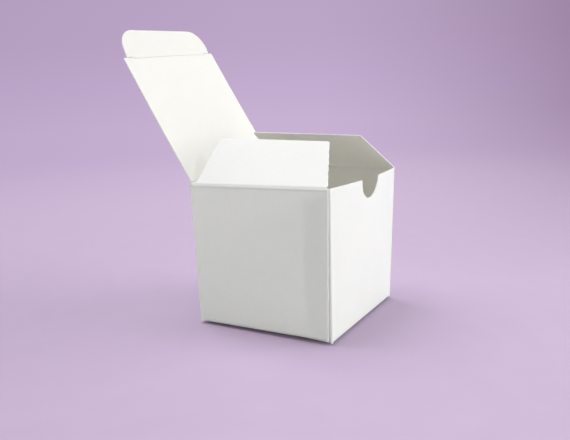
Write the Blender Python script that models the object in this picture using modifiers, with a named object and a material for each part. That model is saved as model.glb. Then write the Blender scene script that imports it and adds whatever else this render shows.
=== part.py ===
"""An open tuck-top carton of white paperboard, standing on z = 0.

The carton is one creased, folded and glued blank. Each panel is an object of its own, and so
is each fold that shows as a rounded bead. The front wall, which has the thumb notch, faces -Y.
The moving panels hang from empties that lie on their fold lines, where +X runs along the fold
and +Y runs across the panel. Lengths are in metres and angles in radians.
"""

import math

import bmesh
import bpy

# Board and folds
BOARD = 0.00046
FOLD_BEAD_RADIUS = 0.0002
FOLD_GAP = 0.0003
CORNER_RADIUS = 0.0008
LAYER_GAP = 0.0003
GLUE_THICKNESS = 0.0001
CUT_OVERRUN = 0.004

# Standing walls
BOX_WIDTH = 0.076
BOX_DEPTH = 0.076
WALL_HEIGHT = 0.0727
FRONT_EDGE_DROP = 0.0004
FRONT_FOOT_RISE = 0.0005
FRONT_BOW = 0.0034
LEFT_FOOT_RISE = 0.0012
SEAM_SETBACK = 0.0011
WALL_RACK = 0.0034

# Thumb notch in the front wall
NOTCH_RADIUS = 0.0093
NOTCH_DEPTH = 0.0102
NOTCH_MOUTH_RADIUS = 0.0008

# Glue tab behind the left wall
GLUE_TAB_WIDTH = 0.012
GLUE_TAB_END_DROP = 0.003
GLUE_TAB_TAPER = 0.002
GLUE_STRIP_WIDTH = 0.006
GLUE_STRIP_MARGIN = 0.006

# Lid, with its fold set above the side walls' folds by about a board's thickness
LID_LENGTH = 0.0739
LID_SIDE_INSET = 0.00076
LID_FOLD_RISE = 0.0006
LID_OPENING = math.radians(122)

# Tuck flap at the lid's front edge, slit at both ends of its fold
TUCK_LENGTH = 0.0145
TUCK_SIDE_INSET = 0.0029
TUCK_CORNER_RADIUS = 0.009
TUCK_SLIT_LENGTH = 0.0085
TUCK_FOLD = math.radians(17.8)
SLIT_HOOK_LENGTH = 0.0013
SLIT_WIDTH = 0.0003

# Dust flaps on the side walls
DUST_LENGTH = 0.0314
DUST_FRONT_INSET = 0.0021
DUST_FRONT_TAPER = 0.0092
DUST_BACK_INSET = 0.0037
DUST_BACK_ROOT_INSET = 0.0014
DUST_TIP_RADIUS = 0.0012
DUST_OPENING = math.radians(38)

# Snap-lock bottom: side flaps, a slotted back panel over them, a front panel with a tongue
TONGUE_BODY_LENGTH = 0.043
TONGUE_REACH = 0.055
TONGUE_WIDTH = 0.034
TONGUE_SHOULDER = 0.004
TONGUE_RAMP = 0.003
TONGUE_SIDE_INSET = 0.0015
TONGUE_SIDE_TAPER = 0.004
SLOT_PANEL_REACH = 0.046
SLOT_PANEL_TAPER = 0.005
SLOT_ROOT = 0.028
SLOT_CLEARANCE = 0.002
SIDE_FLAP_TAPER = 0.012
SIDE_FLAP_BACK_INSET = 0.002

# Shape of the front wall's bow: how fast it fades from the mouth to the foot
BOW_FADE_SHARE = 1.5

# Facets
ARC_STEPS = 8
BEAD_SIDES = 12
WALL_COLUMNS = 16
WALL_ROWS = 10

# Each standing wall's frame is turned about Z so that it faces outward
FRONT, RIGHT, BACK, LEFT = 0, math.pi / 2, math.pi, -math.pi / 2
QUARTER = math.pi / 2

# Derived sizes
FOLD_ROOM = FOLD_BEAD_RADIUS + FOLD_GAP
LAYER = BOARD + LAYER_GAP
SIDE_FOLD_HEIGHT = WALL_HEIGHT - BOARD / 2
LID_FOLD_HEIGHT = SIDE_FOLD_HEIGHT + LID_FOLD_RISE
FRONT_TOP = WALL_HEIGHT - FRONT_EDGE_DROP
TAB_FACE = BOX_WIDTH / 2 - BOARD - LAYER_GAP
CORNER_END = CORNER_RADIUS + FOLD_GAP
LID_HALF_WIDTH = BOX_WIDTH / 2 - LID_SIDE_INSET
TUCK_HALF_WIDTH = LID_HALF_WIDTH - TUCK_SIDE_INSET

PAPERBOARD = (0.86, 0.86, 0.85, 1.0)
PAPERBOARD_INSIDE = (0.82, 0.80, 0.75, 1.0)
GLUE = (0.80, 0.76, 0.62, 1.0)
BOARD_ROUGHNESS = 0.55
INSIDE_ROUGHNESS = 0.7
GLUE_ROUGHNESS = 0.4


def clear_scene():
    """Removes the objects that a new scene starts with."""
    for thing in list(bpy.data.objects):
        bpy.data.objects.remove(thing, do_unlink=True)


def new_collection(name):
    """A collection of this name, linked to the scene."""
    collection = bpy.data.collections.new(name)
    bpy.context.scene.collection.children.link(collection)
    return collection


def finish_with(part, colour, roughness):
    """Gives a part its own Principled material."""
    material = bpy.data.materials.new(part.name + "_finish")
    material.use_nodes = True
    shader = material.node_tree.nodes["Principled BSDF"]
    shader.inputs["Base Color"].default_value = colour
    shader.inputs["Roughness"].default_value = roughness
    shader.inputs["Metallic"].default_value = 0
    material.diffuse_color = colour
    part.data.materials.append(material)


def rack(x, z):
    """How far the standing walls lean along Y here: the open tube is a little out of square.

    The right wall's mouth leans forward and its foot backward, and the left wall is upright.
    """
    return -WALL_RACK * (x / BOX_WIDTH + 1 / 2) * (z / WALL_HEIGHT - 1 / 2)


def rack_turn(z):
    """The turn about Z that the front and back walls have at this height."""
    return math.atan2(rack(BOX_WIDTH / 2, z) - rack(-BOX_WIDTH / 2, z), BOX_WIDTH)


def arc(centre, radius, start, end):
    """Points along an arc, with both its ends."""
    points = []
    for step in range(ARC_STEPS + 1):
        angle = start + (end - start) * step / ARC_STEPS
        points.append((centre[0] + radius * math.cos(angle), centre[1] + radius * math.sin(angle)))
    return points


def mirrored(points):
    """The same outline on the other side of x = 0, in the opposite order."""
    return [(-x, y) for x, y in reversed(points)]


def slab(name, outline, thickness, collection):
    """A flat outline in the local XY plane, thickened evenly to both sides."""
    curve = bpy.data.curves.new(name, "CURVE")
    curve.dimensions = "2D"
    curve.fill_mode = "BOTH"
    curve.extrude = thickness / 2
    spline = curve.splines.new("POLY")
    spline.points.add(len(outline) - 1)
    for point, (x, y) in zip(spline.points, outline):
        point.co = (x, y, 0, 1)
    spline.use_cyclic_u = True
    piece = bpy.data.objects.new(name, curve)
    collection.objects.link(piece)
    return piece


def sheet(name, columns, rows, place, collection):
    """A curved sheet of board: place(u, v) gives each point's position, u and v from 0 to 1."""
    bpy.ops.mesh.primitive_grid_add(x_subdivisions=columns, y_subdivisions=rows, size=1)
    piece = bpy.context.object
    piece.name = name
    piece.data.name = name
    for home in list(piece.users_collection):
        home.objects.unlink(piece)
    collection.objects.link(piece)
    for vertex in piece.data.vertices:
        vertex.co = place(vertex.co.x + 1 / 2, vertex.co.y + 1 / 2)
    skin = piece.modifiers.new("board", "SOLIDIFY")
    skin.thickness = BOARD
    skin.offset = 0
    skin.use_even_offset = True
    return piece


def stand(piece, heading, distance):
    """Stands a panel up on its foot, facing outward at this distance from the middle."""
    piece.rotation_euler = (QUARTER, 0, heading)
    piece.location = (distance * math.sin(heading), -distance * math.cos(heading), 0)


def fold_line(name, heading, distance, height, opening, collection):
    """An empty on a fold at a wall's edge; opening 0 lays its panel inward, level."""
    line = bpy.data.objects.new(name, None)
    line.location = (distance * math.sin(heading), -distance * math.cos(heading), height)
    line.rotation_euler = (opening, 0, heading)
    line.empty_display_size = BOX_WIDTH / 4
    collection.objects.link(line)
    return line


def fold_bead(name, length, line, collection):
    """The round bead of a pressed fold, along its fold line."""
    bpy.ops.mesh.primitive_cylinder_add(
        vertices=BEAD_SIDES, radius=FOLD_BEAD_RADIUS, depth=length, rotation=(0, QUARTER, 0))
    bead = bpy.context.object
    bead.name = name
    bead.data.name = name
    bead.parent = line
    for home in list(bead.users_collection):
        home.objects.unlink(bead)
    collection.objects.link(bead)
    bead.data.shade_smooth()
    bead.data.set_sharp_from_angle(angle=QUARTER / 2)
    finish_with(bead, PAPERBOARD, BOARD_ROUGHNESS)
    return bead


def corner_fold(name, x, y, start, bottom, top, collection):
    """The rounded strip between two walls, a quarter turn from the start angle."""
    outer = arc((0, 0), CORNER_RADIUS, start, start + QUARTER)
    inner = arc((0, 0), CORNER_RADIUS - BOARD, start + QUARTER, start)
    fold = slab(name, outer + inner, top - bottom, collection)
    middle = (bottom + top) / 2
    fold.location = (x, y + rack(x, middle), middle)
    fold.rotation_euler = (math.atan2(rack(x, bottom) - rack(x, top), top - bottom), 0, 0)
    finish_with(fold, PAPERBOARD, BOARD_ROUGHNESS)
    return fold


def notch_cutter(cutters):
    """A U-shaped punch with a flared mouth, pushed through the front wall along Y."""
    flare_centre = NOTCH_RADIUS + NOTCH_MOUTH_RADIUS
    flare_height = FRONT_TOP - NOTCH_MOUTH_RADIUS
    bowl_height = FRONT_TOP - NOTCH_DEPTH + NOTCH_RADIUS
    right_side = arc((flare_centre, flare_height), NOTCH_MOUTH_RADIUS, math.pi, QUARTER)
    right_side.append((flare_centre, FRONT_TOP + CUT_OVERRUN))
    bowl = arc((0, bowl_height), NOTCH_RADIUS, -math.pi, -QUARTER)[:-1]
    bowl += arc((0, bowl_height), NOTCH_RADIUS, -QUARTER, 0)
    outline = mirrored(right_side) + bowl + right_side
    thickness = FRONT_BOW + BOARD + CUT_OVERRUN
    punch = slab("notch_punch_outline", outline, thickness + thickness, cutters)
    stand(punch, FRONT, BOX_DEPTH / 2)
    bpy.context.view_layer.update()
    evaluated = punch.evaluated_get(bpy.context.evaluated_depsgraph_get())
    mesh = bpy.data.meshes.new_from_object(evaluated)
    cutter = bpy.data.objects.new("notch_punch", mesh)
    cutter.matrix_world = punch.matrix_world
    cutters.objects.link(cutter)
    weld_caps(mesh)
    bpy.data.objects.remove(punch, do_unlink=True)
    cutter.hide_render = True
    cutter.display_type = "WIRE"
    return cutter


def weld_caps(mesh):
    """Joins the loose caps of a mesh that was made from a curve."""
    body = bmesh.new()
    body.from_mesh(mesh)
    bmesh.ops.remove_doubles(body, verts=body.verts, dist=FOLD_GAP / 10)
    body.to_mesh(mesh)
    body.free()


def make_front_wall(parts, cutters):
    """The front wall bows outward at its free top edge and has the thumb notch."""
    left_end = -(TAB_FACE - CORNER_END)
    right_end = BOX_WIDTH / 2 - CORNER_END

    def place(u, v):
        across = 2 * u - 1
        bow = FRONT_BOW * (1 - across ** 2) * v ** BOW_FADE_SHARE
        x = left_end + (right_end - left_end) * u
        height = FRONT_FOOT_RISE + (FRONT_TOP - FRONT_FOOT_RISE) * v
        return (x, height, bow - rack(x, height))

    wall = sheet("front_wall", WALL_COLUMNS, WALL_ROWS, place, parts)
    stand(wall, FRONT, (BOX_DEPTH - BOARD) / 2)
    cut = wall.modifiers.new("thumb_notch", "BOOLEAN")
    cut.operation = "DIFFERENCE"
    cut.solver = "EXACT"
    cut.object = notch_cutter(cutters)
    finish_with(wall, PAPERBOARD, BOARD_ROUGHNESS)


def make_back_wall(parts):
    """The back wall, twisted a little by the rack of the walls, from its foot to the lid's fold."""
    half_width = BOX_WIDTH / 2 - CORNER_END
    top = LID_FOLD_HEIGHT - FOLD_ROOM

    def place(u, v):
        x = half_width * (1 - 2 * u)
        height = top * v
        return (-x, height, rack(x, height))

    wall = sheet("back_wall", WALL_ROWS, WALL_ROWS, place, parts)
    stand(wall, BACK, (BOX_DEPTH - BOARD) / 2)
    finish_with(wall, PAPERBOARD, BOARD_ROUGHNESS)


def make_side_walls(parts):
    """The right and left walls, flat from their feet to the folds of their dust flaps."""
    side_top = SIDE_FOLD_HEIGHT - FOLD_ROOM
    foot_lean = rack(BOX_WIDTH / 2, 0)
    top_lean = rack(BOX_WIDTH / 2, side_top)
    half_side = BOX_DEPTH / 2 - CORNER_END
    seam_end = BOX_DEPTH / 2 - SEAM_SETBACK

    right = [(foot_lean - half_side, 0), (foot_lean + half_side, 0),
             (top_lean + half_side, side_top), (top_lean - half_side, side_top)]
    left = [(-half_side, 0), (seam_end, LEFT_FOOT_RISE), (seam_end, side_top), (-half_side, side_top)]
    for name, outline, heading in (("right_wall", right, RIGHT), ("left_wall", left, LEFT)):
        wall = slab(name, outline, BOARD, parts)
        stand(wall, heading, (BOX_WIDTH - BOARD) / 2)
        finish_with(wall, PAPERBOARD, BOARD_ROUGHNESS)


def make_corner_folds(parts):
    """The upright folds: three between the walls, and one that turns into the glue tab."""
    x = BOX_WIDTH / 2 - CORNER_RADIUS
    y = BOX_DEPTH / 2 - CORNER_RADIUS
    side_top = SIDE_FOLD_HEIGHT - FOLD_ROOM
    tab_x = TAB_FACE - CORNER_RADIUS
    corner_fold("back_right_fold", x, y, 0, 0, side_top, parts)
    corner_fold("back_left_fold", -x, y, QUARTER, 0, side_top, parts)
    corner_fold("glue_tab_fold", -tab_x, -y, math.pi, FRONT_FOOT_RISE, FRONT_TOP, parts)
    corner_fold("front_right_fold", x, -y, -QUARTER, FRONT_FOOT_RISE, FRONT_TOP, parts)


def make_glue_tab(parts):
    """The tab that continues the front wall behind the left wall, and its strip of glue."""
    front = BOX_DEPTH / 2 - CORNER_END
    rear = front - GLUE_TAB_WIDTH
    top = FRONT_TOP - GLUE_TAB_END_DROP
    foot = FRONT_FOOT_RISE + GLUE_TAB_END_DROP
    outline = [(rear, foot + GLUE_TAB_TAPER), (front, foot), (front, top), (rear, top - GLUE_TAB_TAPER)]
    tab = slab("glue_tab", outline, BOARD, parts)
    stand(tab, LEFT, TAB_FACE - BOARD / 2)
    finish_with(tab, PAPERBOARD_INSIDE, INSIDE_ROUGHNESS)

    middle = (front + rear) / 2
    near, far = middle + GLUE_STRIP_WIDTH / 2, middle - GLUE_STRIP_WIDTH / 2
    low, high = foot + GLUE_STRIP_MARGIN, top - GLUE_STRIP_MARGIN
    strip = slab("glue_strip", [(far, low), (near, low), (near, high), (far, high)], GLUE_THICKNESS, parts)
    stand(strip, LEFT, TAB_FACE + LAYER_GAP / 2)
    finish_with(strip, GLUE, GLUE_ROUGHNESS)


def lid_outline():
    """The lid, with a short hook cut into its front edge at the inner end of each slit."""
    front = LID_LENGTH - FOLD_ROOM
    hook_outer = TUCK_HALF_WIDTH - TUCK_SLIT_LENGTH
    hook_inner = hook_outer - SLIT_WIDTH
    hook_root = front - SLIT_HOOK_LENGTH
    right_side = [(LID_HALF_WIDTH, FOLD_ROOM), (LID_HALF_WIDTH, front), (hook_outer, front),
                  (hook_outer, hook_root), (hook_inner, hook_root), (hook_inner, front)]
    return right_side + mirrored(right_side)


def tuck_outline():
    """The tuck flap, with its two free corners rounded."""
    corner_x = TUCK_HALF_WIDTH - TUCK_CORNER_RADIUS
    corner_y = TUCK_LENGTH - TUCK_CORNER_RADIUS
    right_side = [(TUCK_HALF_WIDTH, FOLD_ROOM)]
    right_side += arc((corner_x, corner_y), TUCK_CORNER_RADIUS, 0, QUARTER)
    return right_side + mirrored(right_side)


def dust_outline():
    """A dust flap with its front to +X: tapered in front, relieved by an arc at the back."""
    front = BOX_DEPTH / 2 - DUST_FRONT_INSET
    tip_front = front - DUST_FRONT_TAPER
    back = -(BOX_DEPTH / 2 - DUST_BACK_INSET)
    root_back = -(BOX_DEPTH / 2 - DUST_BACK_ROOT_INSET)
    relief = DUST_BACK_INSET - DUST_BACK_ROOT_INSET
    slant = math.atan2(DUST_LENGTH - FOLD_ROOM, DUST_FRONT_TAPER)
    tip_y = DUST_LENGTH - DUST_TIP_RADIUS
    tip_x = tip_front - DUST_TIP_RADIUS * math.tan(slant / 2)
    outline = [(front, FOLD_ROOM)]
    outline += arc((tip_x, tip_y), DUST_TIP_RADIUS, QUARTER - slant, QUARTER)
    outline += arc((back + DUST_TIP_RADIUS, tip_y), DUST_TIP_RADIUS, QUARTER, math.pi)
    outline += arc((root_back, FOLD_ROOM + relief), relief, 0, -QUARTER)
    return outline


def make_lid(parts):
    """The lid on the back wall's fold, and the tuck flap on the lid's front fold."""
    line = fold_line("lid_fold_line", BACK, (BOX_DEPTH - BOARD) / 2, LID_FOLD_HEIGHT, LID_OPENING, parts)
    line.location.y += rack(0, WALL_HEIGHT)
    line.rotation_euler.z += rack_turn(WALL_HEIGHT)
    fold_bead("lid_fold", 2 * LID_HALF_WIDTH, line, parts)
    lid = slab("lid_panel", lid_outline(), BOARD, parts)
    lid.parent = line
    finish_with(lid, PAPERBOARD, BOARD_ROUGHNESS)

    tuck_line = bpy.data.objects.new("tuck_fold_line", None)
    tuck_line.parent = line
    tuck_line.location = (0, LID_LENGTH, 0)
    tuck_line.rotation_euler = (-TUCK_FOLD, 0, 0)
    parts.objects.link(tuck_line)
    fold_bead("tuck_fold", 2 * (TUCK_HALF_WIDTH - TUCK_SLIT_LENGTH), tuck_line, parts)
    tuck = slab("tuck_flap", tuck_outline(), BOARD, parts)
    tuck.parent = tuck_line
    finish_with(tuck, PAPERBOARD, BOARD_ROUGHNESS)


def make_dust_flaps(parts):
    """The two dust flaps, mirror images on the side walls' top folds."""
    outline = dust_outline()
    span = BOX_DEPTH - DUST_FRONT_INSET - DUST_BACK_ROOT_INSET
    shift = (DUST_BACK_ROOT_INSET - DUST_FRONT_INSET) / 2
    sides = (("left", LEFT, outline, shift), ("right", RIGHT, mirrored(outline), -shift))
    for side, heading, shape, offset in sides:
        distance = (BOX_WIDTH - BOARD) / 2
        line = fold_line(side + "_dust_fold_line", heading, distance, SIDE_FOLD_HEIGHT, DUST_OPENING, parts)
        line.location.y += rack(line.location.x, WALL_HEIGHT)
        bead = fold_bead(side + "_dust_fold", span, line, parts)
        bead.location = (offset, 0, 0)
        flap = slab(side + "_dust_flap", shape, BOARD, parts)
        flap.parent = line
        finish_with(flap, PAPERBOARD, BOARD_ROUGHNESS)


def lay_inward(piece, heading, span, layer):
    """Lays a bottom panel level inside its wall, this many layers above the floor."""
    distance = span / 2 - BOARD
    piece.location = (distance * math.sin(heading), -distance * math.cos(heading), BOARD / 2 + layer * LAYER)
    piece.rotation_euler = (0, 0, heading)
    piece.location.y += rack(piece.location.x, 0)
    if heading in (FRONT, BACK):
        piece.rotation_euler.z += rack_turn(0)


def make_bottom(parts):
    """The four panels of the snap-lock bottom, layered as they are folded shut."""
    tongue_top = 3 * LAYER
    body_half = BOX_WIDTH / 2 - BOARD - TONGUE_SIDE_INSET
    shoulder_half = body_half - TONGUE_SIDE_TAPER
    shoulder_start = TONGUE_BODY_LENGTH - TONGUE_SHOULDER
    ramp_end = TONGUE_BODY_LENGTH + TONGUE_RAMP
    stations = ((LAYER_GAP, body_half, 0),
                (shoulder_start, shoulder_half, 0),
                (TONGUE_BODY_LENGTH, TONGUE_WIDTH / 2, 0),
                (ramp_end, TONGUE_WIDTH / 2, tongue_top),
                (TONGUE_REACH - TONGUE_SHOULDER, TONGUE_WIDTH / 2, tongue_top),
                (TONGUE_REACH, TONGUE_WIDTH / 2 - TONGUE_SHOULDER, tongue_top))

    def place(u, v):
        reach, half_width, lift = stations[round(v * (len(stations) - 1))]
        return ((2 * u - 1) * half_width, reach, lift)

    tongue = sheet("bottom_tongue_panel", 2, len(stations) - 1, place, parts)
    lay_inward(tongue, FRONT, BOX_DEPTH, 0)

    slot_half = TONGUE_WIDTH / 2 + SLOT_CLEARANCE
    wing_half = BOX_WIDTH / 2 - BOARD - LAYER_GAP
    right_side = [(wing_half, LAYER_GAP), (wing_half - SLOT_PANEL_TAPER, SLOT_PANEL_REACH),
                  (slot_half, SLOT_PANEL_REACH), (slot_half, SLOT_ROOT)]
    slotted = slab("bottom_slot_panel", right_side + mirrored(right_side), BOARD, parts)
    lay_inward(slotted, BACK, BOX_DEPTH, 2)

    half_side = BOX_DEPTH / 2 - BOARD - LAYER_GAP
    front_room = half_side - (BOX_WIDTH / 2 - TAB_FACE) - CORNER_END
    reach = BOX_WIDTH / 2 - BOARD - slot_half
    flap = [(-(half_side - SIDE_FLAP_BACK_INSET), LAYER_GAP), (front_room, LAYER_GAP),
            (front_room - SIDE_FLAP_TAPER, reach), (-(half_side - SIDE_FLAP_BACK_INSET), reach)]
    left_flap = slab("bottom_left_flap", flap, BOARD, parts)
    lay_inward(left_flap, LEFT, BOX_WIDTH, 1)
    right_flap = slab("bottom_right_flap", mirrored(flap), BOARD, parts)
    lay_inward(right_flap, RIGHT, BOX_WIDTH, 1)
    for panel in (tongue, slotted, left_flap, right_flap):
        finish_with(panel, PAPERBOARD, BOARD_ROUGHNESS)


def build():
    """Makes the whole carton."""
    clear_scene()
    parts = new_collection("paperboard_carton")
    cutters = new_collection("cutters")
    make_front_wall(parts, cutters)
    make_back_wall(parts)
    make_side_walls(parts)
    make_corner_folds(parts)
    make_glue_tab(parts)
    make_lid(parts)
    make_dust_flaps(parts)
    make_bottom(parts)


build()
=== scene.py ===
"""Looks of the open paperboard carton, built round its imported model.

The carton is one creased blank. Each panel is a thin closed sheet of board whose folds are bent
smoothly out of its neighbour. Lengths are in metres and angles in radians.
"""

import collections
import math

import bpy
import numpy as np
from mathutils import Matrix, Vector


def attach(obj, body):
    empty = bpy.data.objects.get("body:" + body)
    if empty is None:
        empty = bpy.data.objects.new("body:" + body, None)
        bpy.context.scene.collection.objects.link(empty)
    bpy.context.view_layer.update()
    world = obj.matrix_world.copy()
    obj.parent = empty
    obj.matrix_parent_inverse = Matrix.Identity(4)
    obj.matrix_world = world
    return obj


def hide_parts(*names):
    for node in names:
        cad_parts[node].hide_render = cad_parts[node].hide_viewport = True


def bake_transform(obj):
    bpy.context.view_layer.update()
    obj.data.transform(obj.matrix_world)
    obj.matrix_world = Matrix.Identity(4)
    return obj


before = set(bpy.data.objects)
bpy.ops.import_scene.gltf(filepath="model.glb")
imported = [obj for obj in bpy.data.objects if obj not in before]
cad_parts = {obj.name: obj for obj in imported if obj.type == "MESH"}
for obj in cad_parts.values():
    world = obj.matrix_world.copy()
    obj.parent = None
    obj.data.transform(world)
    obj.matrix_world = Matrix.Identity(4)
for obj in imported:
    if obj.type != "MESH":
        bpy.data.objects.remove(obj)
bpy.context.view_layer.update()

MM = 0.001
TURN = math.pi / 2
UP = np.array((0.0, 0.0, 1.0))

# The board, and the box: the right wall's top stands RACK further forward than its foot
BOARD = 0.46 * MM
WIDTH = 76 * MM
HEIGHT = 72.7 * MM
CORNER = 0.8 * MM
RACK = 3.4 * MM
MID_FACE = WIDTH / 2 - BOARD / 2
MID_CORNER = CORNER - BOARD / 2
CENTRE = WIDTH / 2 - CORNER
BEND = MID_CORNER * TURN

# How far each fold's bend reaches to either side of it
SIDE_REACH = 1.1 * MM
LID_REACH = 0.8 * MM
TUCK_REACH = 0.5 * MM
FOOT_REACH = 0.6 * MM

# How folds are pressed. A fold's flat facet lies on the line between the points at FACET of its
# reach, from BEND_END of that line to as far from its other end. Each of the two bends beside the
# facet takes BEND_SHARE of the fold.
FACET = 0.78
BEND_SHARE = 0.4
BEND_END = 0.3

# How wide the lighter band at folds, partly strained coating and partly painted highlight, is
# along an upright fold, and at others as a share of their reach
CREASE_WIDTH = 0.8 * MM
CREASE_SHARE = 1.1

# How finely sheets are divided: their widest column, the width of a step in an outline, and the
# rows and steps of their parts
PITCH = 1.6 * MM
STEP = 0.02 * MM
BEND_STEPS = 6
FRONT_ROWS = 44
WALL_ROWS = 30
DUST_FOLD_ROWS = 25
DUST_RELIEF_ROWS = 12
DUST_TIP_ROWS = 8
DUST_COLUMNS = 44
FOOT_ROWS = 17
BOTTOM_COLUMNS = 40
HOOK_STEPS = 10
CORNER_STEPS = 24

# The distances that a sheet's directions are measured over: at a point, and on a wall or the lid
PROBE = 0.02 * MM
WALL_STRIP = 5 * MM
LID_STRIP = 4 * MM

# How rough the cuts are, and how far they stand out by a burr, whose pitch is in points
TRIM = 0.02 * MM
RAGGED = 0.03 * MM
RAGGED_SEAM = 0.14 * MM
RAGGED_PITCH = 1.1 * MM
BURR = 0.025 * MM
BURR_PITCH = 3.7

# Edges sharper than this aren't shaded smooth
SHARP = math.radians(35)

# The walls. SIDE_TOP and LID_TOP are where the board of a dust flap or of the lid takes over,
# SHOULDER is a side wall's top beside its flap, and WALL_LOW is how far a wall stops short of its
# foot over a bottom panel. FRONT_RIGHT_MIDDLE has the foot and the top where the front right
# fold's two halves meet. The front wall bows outwards towards its top.
FRONT_TOP = 72.3 * MM
FRONT_FOOT = 0.3 * MM
FRONT_BOW = 3.0 * MM
BOW_POWER = 1.5
LEFT_FOOT_RISE = 1.35 * MM
SIDE_FOLD = 72.47 * MM
SIDE_TOP = SIDE_FOLD - SIDE_REACH
SHOULDER = SIDE_FOLD + 0.1 * MM
LID_FOLD = 73.07 * MM
LID_TOP = LID_FOLD - LID_REACH
WALL_LOW = FOOT_REACH + BOARD / 2
FRONT_RIGHT_MIDDLE = (0.2 * MM, FRONT_TOP + 0.1 * MM)

# The side seam. The left wall ends SEAM_SETBACK short of the front wall's face, and SEAM_TAPER
# more at its foot. The glue tab behind it stands back by TAB_DROP from the front wall's foot and
# top, by TAB_TAPER more at its free end, and by TAB_NECK_DROP right at its fold.
SEAM_SETBACK = 0.65 * MM
SEAM_RUN = CENTRE + WIDTH / 2 - SEAM_SETBACK
SEAM_TAPER = 1.0 * MM
SEAM_TAPER_RUN = 12 * MM
SEAM_BEVEL = 0.25 * MM
TAB_FACE = 37.24 * MM
TAB_X = TAB_FACE - CORNER
TAB_RUN = 12.3 * MM
TAB_DROP = 3 * MM
TAB_TAPER = 2 * MM
TAB_NECK = 0.3 * MM
TAB_NECK_DROP = 0.2 * MM

# The thumb notch: a round bowl between two small flared corners
NOTCH_RADIUS = 9.3 * MM
NOTCH_DEPTH = 9.9 * MM
NOTCH_MOUTH = 0.8 * MM

# The lid, and the tuck with its two rounded corners. The slits at the ends of the tuck's fold
# curve down at their inner ends, by HOOK over HOOK_RUN, and on the lid's side HOOK_DEPTH times
# as far.
LID_LENGTH = 73.5 * MM
LID_HALF = 37.24 * MM
LID_CORNER = 0.5 * MM
LID_OPENING = math.radians(122.33)
LID_CURL = 0.35 * MM
TUCK_LENGTH = 15.05 * MM
TUCK_HALF = 34.34 * MM
TUCK_CORNERS = {1: 10.3 * MM, -1: 12.0 * MM}
TUCK_FOLD = math.radians(9.8)
TUCK_TWIST = 0.85 * MM
TUCK_SHORT = 1.1 * MM
TUCK_SLIT = 5.5 * MM
HOOK = 1.2 * MM
HOOK_RUN = 2.0 * MM
HOOK_DEPTH = 1.3
SLIT = 0.35 * MM

# The dust flaps. root, tip and rear are how far one reaches in front at its fold and its tip,
# and behind. twist is how far the tip's front corner sinks out of the flap's plane. ragged is how
# rough the front edge is, which also has small nicks on the near flap, and pitch spaces its rows.
# DUST_ROOT_BACK is how far a flap reaches behind at its fold, and DUST_TIP rounds its tip.
Flap = collections.namedtuple("Flap", "opening length root tip rear twist ragged pitch")
NEAR_FLAP = Flap(opening=math.radians(37.1), length=31.4 * MM, root=36.85 * MM, tip=26.6 * MM,
                 rear=34.3 * MM, twist=1.1 * MM, ragged=0.12 * MM, pitch=0.2 * MM)
FAR_FLAP = Flap(opening=math.radians(38.4), length=31.2 * MM, root=36.85 * MM, tip=28.75 * MM,
                rear=35.4 * MM, twist=0.45 * MM, ragged=0.04 * MM, pitch=1.2 * MM)
DUST_ROOT_BACK = 36.6 * MM
DUST_TIP = 1.2 * MM
NICK = 0.8 * MM
NICK_PITCH = 2.8 * MM

# The bottom's panels lie LAYER above each other and sag by BULGE in the middle. Each comes to its
# layer over SETTLE_RUN, from SETTLE behind its fold, and the tongue rises through the slot.
LAYER = 0.76 * MM
BULGE = 0.9 * MM
SETTLE = 0.5 * MM
SETTLE_RUN = 2.6 * MM
SETTLE_ROWS = (1.2 * MM, 1.6 * MM, 2.0 * MM, 2.5 * MM, 3.2 * MM)
TONGUE_LIFT = 43 * MM
TONGUE_LIFT_RUN = 3 * MM

# The outlines of the bottom's panels. TONGUE_ROOT and SLOT_ROOT are half widths at the fold.
# TONGUE_OUTLINE has distances from the fold and half widths. SLOT_OUTLINE has places along the
# fold from its middle, and how far the panel reaches there: the slot that takes the tongue, its
# flank, and a slanted corner. A side flap reaches FLAP_FRONT and FLAP_BACK to the two sides of
# the middle at its fold, and FLAP_TIP to the front at its tip.
TONGUE_ROOT = 36.04 * MM
TONGUE_OUTLINE = ((39 * MM, 32.04 * MM), (43 * MM, 17 * MM), (51 * MM, 17 * MM),
                  (55 * MM, 13 * MM))
SLOT_ROOT = 37.0 * MM
SLOT_OUTLINE = ((19 * MM, 28 * MM), (19 * MM + STEP, 46 * MM),
                (32.24 * MM, 46 * MM), (SLOT_ROOT, 2.2 * MM))
FLAP_FRONT = 35.38 * MM
FLAP_BACK = 35.24 * MM
FLAP_LENGTH = 18.2 * MM
FLAP_TIP = 23.6 * MM

# How far the corners of the mouth and foot sit from those of a box racked straight, and the
# lid's tips from those of a straight lid
MOUTH_BACK_LEFT = np.array((-1.20, 0.50, -0.62)) * MM
MOUTH_FRONT_LEFT = np.array((0.20, 0.24, 0.62)) * MM
MOUTH_FRONT_RIGHT = np.array((0.44, 0.47, 0.04)) * MM
MOUTH_BACK_RIGHT = np.array((0.27, -0.45, 0.35)) * MM
FOOT_FRONT_LEFT = np.array((-0.42, 0.73, 0.0)) * MM
FOOT_BACK_LEFT = np.array((0.0, 0.0, 0.55)) * MM
LID_TIP_LEFT = np.array((-0.16, -0.40, -0.36)) * MM
LID_TIP_RIGHT = np.array((-0.78, 1.10, 1.33)) * MM

# The noises of the board, its cut edge and the glue, in waves per metre. Each piece takes its own
# part of the board's, BLANK_SHIFT further on for each step of its seed.
BLANK_SHIFT = np.array((0.37, 0.11, 0.0))
CLOUD = 90
RIPPLE = 350
STRAIN_AND_HIGHLIGHT = 700
FIBRE = 1500
CUT_FIBRE = 2500
PLIES = 3500
GLUE_CLOUD = 400
GLUE_BUBBLES = 900

# How much light passes into the board, and how far
TRANSLUCENCY = 0.72
LIGHT_REACH = 0.9 * MM

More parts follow.
